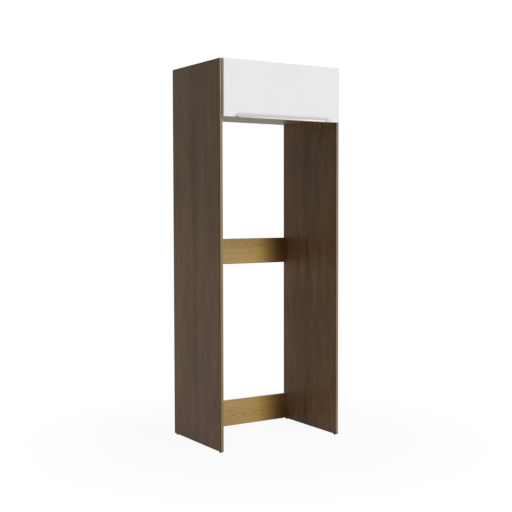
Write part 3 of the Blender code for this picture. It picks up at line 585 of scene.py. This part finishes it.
DOOR_GLOSS = 0.25
DOOR_COOL = (0.810, 0.812, 0.815)
DOOR_WARM = (0.827, 0.827, 0.825)
DOOR_PEEL = {"scale": 260.0, "detail": 2, "roughness": 0.45}
DOOR_CLOUD = {"scale": 3.0, "detail": 2}
DOOR_CLOUD_STEP = (0.3, 0.7)
DOOR_ROUGHNESS_STEP = (0.3, 0.7, 0.50, 0.58)
DOOR_RELIEF = (0.00003, 0.25)
# Painted warm bounce light from the wood on the door's two side edges, which are white
DOOR_SIDE_BOUNCE = (0.800, 0.715, 0.610)
DOOR_SIDE_BOUNCE_STEP = (0.0001, 0.0004, 1.0, 0.0)
PULL_BEHIND_FRONT = (0.0010, 0.0045)
PULL_ABOVE_EDGE = (0.036, 0.030)
PULL_BEFORE_REAR = (-0.0015, -0.0030)
LIP_ABOVE_EDGE = (0.0095, 0.0075)
# Painted shade in the pull's groove and on its lip, deepest at the lip's left, and a painted highlight on
# the lip towards its right end
PULL_GROOVE_SHADE = (0.735, 0.715, 0.680)
PULL_LIP_SHADE = (0.700, 0.698, 0.635)
PULL_LIP_DEEP_SHADE = (0.520, 0.510, 0.445)
PULL_LIP_HIGHLIGHT = (0.900, 0.870, 0.830)
PULL_GROOVE_SHADE_STEP = (-0.30, -0.12, 0.55, 0.0)
PULL_LIP_DEEP_SHADE_STEP = (-0.29, -0.05, 1.0, 0.0)
PULL_LIP_HIGHLIGHT_STEP = (0.02, 0.22)


def door_white():
    """Satin white front whose two side edges carry a painted warm bounce light from the wood beside them.
    The milled pull has painted shade in its groove and on its lip, deepest at the lip's left end, and a
    painted highlight on the lip towards its right end."""
    made, tree, shader, place = shader_tree("door_white", specular=DOOR_GLOSS)
    across, depth, height = parted(tree, place)
    peel = noise(tree, place, **DOOR_PEEL)
    cloud = noise(tree, place, **DOOR_CLOUD)
    front = tinted(tree, spread(tree, cloud, *DOOR_CLOUD_STEP), DOOR_COOL, DOOR_WARM)
    in_pull = times(
        tree,
        spread(tree, depth, *past(door_low.y, PULL_BEHIND_FRONT)),
        spread(tree, height, *past(door_low.z, PULL_ABOVE_EDGE)),
        spread(tree, depth, *past(door_high.y, PULL_BEFORE_REAR)),
    )
    # The groove's and the lip's colours are painted shade, with a painted highlight on the lip at the right
    groove = tinted(tree, spread(tree, across, *PULL_GROOVE_SHADE_STEP), PULL_GROOVE_SHADE, DOOR_WARM)
    lip = tinted(tree, spread(tree, across, *PULL_LIP_DEEP_SHADE_STEP), PULL_LIP_SHADE, PULL_LIP_DEEP_SHADE)
    lip = tinted(tree, spread(tree, across, *PULL_LIP_HIGHLIGHT_STEP), lip, PULL_LIP_HIGHLIGHT)
    on_lip = spread(tree, height, *past(door_low.z, LIP_ABOVE_EDGE))
    pull = tinted(tree, on_lip, groove, lip)
    base = tinted(tree, in_pull, front, pull)
    from_side = maths(tree, "SUBTRACT", door_high.x, maths(tree, "ABSOLUTE", across))
    # Painted warm bounce light on the door's side edges
    base = tinted(tree, spread(tree, from_side, *DOOR_SIDE_BOUNCE_STEP), base, DOOR_SIDE_BOUNCE)
    feed(tree, shader, {"Base Color": base, "Roughness": spread(tree, peel, *DOOR_ROUGHNESS_STEP)})
    bumped(tree, shader, peel, *DOOR_RELIEF)
    return made


# Moulded plastic and rubber, and plated metal

MOULDED_GRAIN = 1400.0
MOULDED_GLOSS = 0.4
MOULDED_SPARKED = {"detail": 2}
MOULDED_RUBBED = {"scale": 60.0, "detail": 3}
MOULDED_DARKER = 0.82
MOULDED_DARKER_STEP = (0.35, 0.7, 0.0, 0.6)
MOULDED_SHINE_STEP = (0.3, 0.75)
MOULDED_DULLEST = 0.06
MOULDED_SHINIEST = -0.10
MOULDED_RELIEF = (0.00004, 0.5)

METAL_DRAWN = {"detail": 4, "roughness": 0.6}
METAL_CLOUDY = {"scale": 70.0, "detail": 3}
METAL_DULLER = 0.74
METAL_SCUFF_STEP = (0.4, 0.75, 0.0, 0.55)
METAL_LINE_STEP = (0.35, 0.7, 0.0, 0.14)
METAL_LINE_ROUGHNESS_STEP = (0.3, 0.7, -0.03, 0.04)
METAL_SCUFF_ROUGHNESS_STEP = (0.4, 0.75, 0.0, 0.12)
METAL_RELIEF = (0.00001, 0.08)


def moulded(name, colour, roughness, grain=MOULDED_GRAIN):
    """Moulded plastic or rubber with a fine spark-eroded grain and slightly shinier rubbed spots."""
    made, tree, shader, place = shader_tree(name, specular=MOULDED_GLOSS)
    grainy = noise(tree, place, scale=grain, **MOULDED_SPARKED)
    rubbed = noise(tree, place, **MOULDED_RUBBED)
    darker = tuple(MOULDED_DARKER * part for part in colour)
    base = tinted(tree, spread(tree, rubbed, *MOULDED_DARKER_STEP), colour, darker)
    rough_range = past(roughness, (MOULDED_DULLEST, MOULDED_SHINIEST))
    rough = spread(tree, rubbed, *MOULDED_SHINE_STEP, *rough_range)
    feed(tree, shader, {"Base Color": base, "Roughness": rough})
    bumped(tree, shader, grainy, *MOULDED_RELIEF)
    return made


def metal(name, colour, roughness, brush):
    """Plated metal with drawn lines along one direction, a cloudy sheen and duller scuffs."""
    made, tree, shader, place = shader_tree(name, metallic=1.0)
    drawn = layer(tree, place, scale=brush, **METAL_DRAWN)
    cloudy = noise(tree, place, **METAL_CLOUDY)
    dull = tuple(METAL_DULLER * part for part in colour)
    base = tinted(tree, spread(tree, cloudy, *METAL_SCUFF_STEP), colour, dull)
    base = tinted(tree, spread(tree, drawn, *METAL_LINE_STEP), base, dull)
    rough = maths(tree, "ADD", spread(tree, drawn, *METAL_LINE_ROUGHNESS_STEP), roughness)
    rough = maths(tree, "ADD", rough, spread(tree, cloudy, *METAL_SCUFF_ROUGHNESS_STEP))
    feed(tree, shader, {"Base Color": base, "Roughness": rough})
    bumped(tree, shader, drawn, *METAL_RELIEF)
    return made


# The finishes

WALNUT = walnut()
MID_OAK = oak(
    "mid_rail_oak",
    *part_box("mid_rail"),
    heart_height=0.74,
    rings_per_metre=140,
    shadow_share=0.97,
    foot_shade=1.20,
    head_shade=0.88,
)
LOW_OAK = oak(
    "low_rail_oak",
    *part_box("low_rail"),
    heart_height=0.36,
    rings_per_metre=100,
    shadow_share=0.62,
    foot_shade=0.96,
    head_shade=1.04,
)
BAND = edge_band()
# A sand brown, which looks grey where it mirrors the white background at a flat angle
BOARD_SAND = melamine(
    "cupboard_board",
    light=(0.326, 0.252, 0.143),
    dark=(0.312, 0.241, 0.136),
    roughest=0.48,
    specular=0.10,
)
BACK_WHITE = melamine(
    "back_board_white",
    light=(0.640, 0.640, 0.615),
    dark=(0.620, 0.618, 0.592),
    grain=500.0,
)
DOOR_WHITE = door_white()
GLIDE = moulded("glide_plastic", colour=(0.030, 0.024, 0.019), roughness=0.50)
COVER_GREY = moulded("cover_plastic", colour=(0.560, 0.565, 0.570), roughness=0.44)
BUMPER = moulded("bumper_rubber", colour=(0.600, 0.600, 0.575), roughness=0.34, grain=500.0)
NICKEL = metal("nickel_plate", colour=(0.660, 0.640, 0.610), roughness=0.30, brush=(900, 60, 900))
PIN_STEEL = metal("bright_pin", colour=(0.700, 0.695, 0.680), roughness=0.18, brush=(60, 900, 900))
ZINC = metal("die_cast_zinc", colour=(0.540, 0.540, 0.550), roughness=0.38, brush=(400, 400, 400))


# Dressing the frame

BOARDS = {
    "side_panel_left": WALNUT,
    "side_panel_right": WALNUT,
    "side_edging_left": BAND,
    "side_edging_right": BAND,
    "top_panel": BOARD_SAND,
    "top_edging": BOARD_SAND,
    "bottom_panel": BOARD_SAND,
    "bottom_edging": BOARD_SAND,
    "back_panel": BACK_WHITE,
    "mid_rail": MID_OAK,
    "low_rail": LOW_OAK,
}


def paint(piece, finish):
    piece.data.materials.clear()
    piece.data.materials.append(finish)


def only(piece):
    """Makes this piece the one selected and active object."""
    bpy.ops.object.select_all(action="DESELECT")
    piece.select_set(True)
    bpy.context.view_layer.objects.active = piece


def smooth(piece):
    only(piece)
    bpy.ops.object.shade_smooth_by_angle(angle=EDGE_ANGLE)


def select_facing(piece, axis, share):
    """Selects the faces whose normal lies along an axis by more than a share, and enters edit mode."""
    only(piece)
    bpy.ops.object.mode_set(mode="EDIT")
    bpy.ops.mesh.select_all(action="DESELECT")
    bpy.ops.object.mode_set(mode="OBJECT")
    for face in piece.data.polygons:
        face.select = face.normal.dot(Vector(axis)) > share
    bpy.ops.object.mode_set(mode="EDIT")


def part_front(piece):
    """Marks the outline of the flat front sharp, also where the pull runs out into it at a slight angle."""
    select_facing(piece, (0, -1, 0), FRONT_FACING_SHARE)
    bpy.ops.mesh.region_to_loop()
    bpy.ops.mesh.mark_sharp()
    bpy.ops.object.mode_set(mode="OBJECT")


def dressed(node, finish, edge=0.0, segments=2, flat_front=False):
    """A node's copy with its triangles joined into whole faces and its arrises softened, which stands
    for it."""
    source = frame["nodes"][node]
    piece = bpy.data.objects.new(f"{node}_finished", source.data.copy())
    bpy.context.scene.collection.objects.link(piece)
    paint(piece, finish)
    only(piece)
    bpy.ops.object.mode_set(mode="EDIT")
    bpy.ops.mesh.select_all(action="SELECT")
    bpy.ops.mesh.remove_doubles(threshold=MERGE)
    bpy.ops.mesh.dissolve_limited(angle_limit=FLAT_ANGLE)
    bpy.ops.object.mode_set(mode="OBJECT")
    if edge:
        soften = piece.modifiers.new("arrises", "BEVEL")
        soften.width = edge
        soften.segments = segments
        soften.limit_method = "ANGLE"
        soften.angle_limit = EDGE_ANGLE
        soften.use_clamp_overlap = True
        bpy.ops.object.modifier_apply(modifier=soften.name)
    smooth(piece)
    if flat_front:
        part_front(piece)
    even = piece.modifiers.new("even_shading", "WEIGHTED_NORMAL")
    even.keep_sharp = True
    bpy.ops.object.modifier_apply(modifier=even.name)
    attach(piece, source["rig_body"])
    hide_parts(node)
    return piece


# Screws


def cross_screw(name, radius, height):
    """A screw head with a domed top and a cross recess, on the origin and facing +Z."""
    bpy.ops.object.select_all(action="DESELECT")
    bpy.ops.mesh.primitive_cylinder_add(
        vertices=HEAD_SIDES, radius=radius, depth=height, location=(0, 0, height / 2), end_fill_type="NGON"
    )
    head = bpy.context.object
    head.name = name
    bpy.ops.object.transform_apply(location=True, rotation=True, scale=True)
    select_facing(head, (0, 0, 1), HEAD_TOP_FACING)
    for inset, rise in DOME_STEPS:
        bpy.ops.mesh.inset(thickness=radius * inset, depth=height * rise)
    bpy.ops.object.mode_set(mode="OBJECT")
    depth = height * RECESS_DEPTH_SHARE
    arm = radius * RECESS_ARM_SHARE
    width = radius * RECESS_WIDTH_SHARE
    # A cube of size 2 reaches 1 to each side, so its scale is its reach
    for reach, breadth in ((arm, width), (width, arm)):
        bpy.ops.object.select_all(action="DESELECT")
        bpy.ops.mesh.primitive_cube_add(size=2, location=(0, 0, height * RECESS_MIDDLE_SHARE))
        cutter = bpy.context.object
        cutter.scale = (reach, breadth, depth)
        bpy.ops.object.transform_apply(location=True, rotation=True, scale=True)
        only(head)
        cut = head.modifiers.new("recess", "BOOLEAN")
        cut.operation = "DIFFERENCE"
        cut.solver = "EXACT"
        cut.object = cutter
        bpy.ops.object.modifier_apply(modifier=cut.name)
        bpy.data.objects.remove(cutter)
    paint(head, ZINC)
    smooth(head)
    return head


def copies(head, places, facing, body, stem):
    """Copies of a screw head at these places, turned to face the way given, each with its own mesh."""
    turn = Vector((0, 0, 1)).rotation_difference(Vector(facing)).to_matrix().to_4x4()
    for index, place in enumerate(places):
        screw = bpy.data.objects.new(f"{stem}_{index + 1}", head.data.copy())
        bpy.context.scene.collection.objects.link(screw)
        screw.data.transform(Matrix.Translation(place) @ turn)
        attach(screw, body)
    bpy.data.objects.remove(head)


def fit_screws():
    """Screws in the mounting plates, the clamp screw in each arm, the screws in the cups' ears and those
    in the stays' brackets."""
    plate_places, arm_places, ear_places, bracket_places = [], [], [], []
    for word in ("left", "right"):
        low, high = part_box(f"hinge_plate_{word}")
        middle = (low.x + high.x) / 2
        for side in (-1, 1):
            across = middle + side * PLATE_SCREW_PITCH / 2
            plate_places.append((across, carcass_front + PLATE_SCREW_SETBACK, high.z - PLATE_WING))
        low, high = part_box(f"hinge_arm_{word}")
        arm_places.append((middle, high.y - ARM_SLOT_FROM_TAIL, low.z))
        low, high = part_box(f"hinge_cup_{word}")
        middle = (low.x + high.x) / 2
        level = high.z - CUP_LAP_RADIUS - EAR_DROP
        for side in (-1, 1):
            ear_places.append((middle + side * EAR_SCREW_PITCH / 2, high.y, level))
        low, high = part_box(f"stay_bracket_{word}")
        inward = -1 if word == "right" else 1
        middle = (low.x + high.x) / 2 + inward * BRACKET_SCREW_OFFSET
        for side in (-1, 1):
            level = (low.z + high.z) / 2 + side * BRACKET_SCREW_PITCH / 2
            bracket_places.append((middle, low.y + BRACKET_PLATE, level))
    for stem, size, places, facing, body in (
        ("plate_screw", PLATE_SCREW, plate_places, DOWN, "carcass"),
        ("arm_screw", ARM_SCREW, arm_places, DOWN, "carcass"),
        ("ear_screw", EAR_SCREW, ear_places, REARWARDS, "door"),
        ("bracket_screw", BRACKET_SCREW, bracket_places, REARWARDS, "door"),
    ):
        copies(cross_screw(stem, *size), places, facing, body, stem)


def build_object():
    for node, finish in BOARDS.items():
        paint(frame["nodes"][node], finish)
    dressed("door_panel", DOOR_WHITE, flat_front=True)
    for node in sorted(frame["nodes"]):
        if node.startswith("cam_"):
            dressed(node, ZINC, METAL_EDGE, segments=1)
        elif node.startswith("foot_"):
            dressed(node, GLIDE)
        elif node.startswith("bumper_"):
            dressed(node, BUMPER)
        elif node.startswith(("hinge_pin_", "stay_axle_", "elbow_rivet_", "door_rivet_")):
            dressed(node, PIN_STEEL, METAL_EDGE, segments=1)
        elif node.startswith("stay_cover_"):
            dressed(node, COVER_GREY, PLASTIC_EDGE)
        elif node.startswith("stay_housing_"):
            dressed(node, ZINC, METAL_EDGE)
        elif node.startswith(("hinge_", "stay_")):
            dressed(node, NICKEL, METAL_EDGE)
    fit_screws()


build_object()


# The stage


def seen(tree):
    """1 for what the eye sees, straight or in gloss or through glass, and 0 for light on the object."""
    rays = tree.nodes.new("ShaderNodeLightPath")
    straight_or_gloss = maths(tree, "MAXIMUM", rays.outputs["Is Camera Ray"], rays.outputs["Is Glossy Ray"])
    return maths(tree, "MAXIMUM", straight_or_gloss, rays.outputs["Is Transmission Ray"])


def sky():
    """An even white sky. It lights the object gently, and is pure white where it is seen."""
    world = bpy.data.worlds.new("studio")
    world.use_nodes = True
    bpy.context.scene.world = world
    tree = world.node_tree
    strength = maths(tree, "MULTIPLY_ADD", seen(tree), 1.0 - SKY_LEVEL, SKY_LEVEL)
    feed(tree, tree.nodes["Background"], {"Color": WHITE, "Strength": strength})


def floor():
    """A pale floor that takes the object's shadow near it and fades to white further off."""
    bpy.ops.object.select_all(action="DESELECT")
    bpy.ops.mesh.primitive_plane_add(size=FLOOR_SIZE, location=(0, 0, 0))
    ground = bpy.context.object
    ground.name = "floor"
    made, tree, shader, place = shader_tree("pale_floor", specular=FLOOR_GLOSS)
    feed(tree, shader, {"Base Color": (*FLOOR_COLOUR, 1.0), "Roughness": FLOOR_ROUGHNESS})
    white = tree.nodes.new("ShaderNodeEmission")
    feed(tree, white, {"Color": WHITE})
    away = tree.nodes.new("ShaderNodeVectorMath")
    away.operation = "LENGTH"
    feed(tree, away, {0: place})
    fade = spread(tree, away.outputs["Value"], FLOOR_NEAR, FLOOR_FAR, 1.0 - FLOOR_SHADE_SHARE, 1.0)
    share = times(tree, fade, seen(tree))
    mix = tree.nodes.new("ShaderNodeMixShader")
    feed(tree, mix, {0: share, 1: shader.outputs["BSDF"], 2: white.outputs["Emission"]})
    feed(tree, tree.nodes["Material Output"], {"Surface": mix.outputs["Shader"]})
    paint(ground, made)


def key_light():
    """One broad key from the front, a little to the right and above."""
    data = bpy.data.lights.new("key", "SUN")
    data.energy = KEY_LEVEL
    data.angle = KEY_ANGLE
    lamp = bpy.data.objects.new("key", data)
    bpy.context.scene.collection.objects.link(lamp)
    turn = Matrix.Rotation(KEY_SIDE, 4, "Z") @ Matrix.Rotation(pi / 2 - KEY_HEIGHT, 4, "X")
    lamp.matrix_world = Matrix.Translation(KEY_PLACE) @ turn


def camera():
    data = bpy.data.cameras.new("photo_view")
    data.lens = CAMERA_LENS
    data.sensor_width = CAMERA_SENSOR
    eye = bpy.data.objects.new("photo_view", data)
    bpy.context.scene.collection.objects.link(eye)
    turn = (
        Matrix.Rotation(-CAMERA_YAW, 4, "Z")
        @ Matrix.Rotation(pi / 2 + CAMERA_PITCH, 4, "X")
        @ Matrix.Rotation(CAMERA_ROLL, 4, "Z")
    )
    eye.matrix_world = Matrix.Translation(CAMERA_PLACE) @ turn
    bpy.context.scene.camera = eye


sky()
floor()
key_light()
camera()
bpy.context.scene.view_settings.view_transform = "Standard"
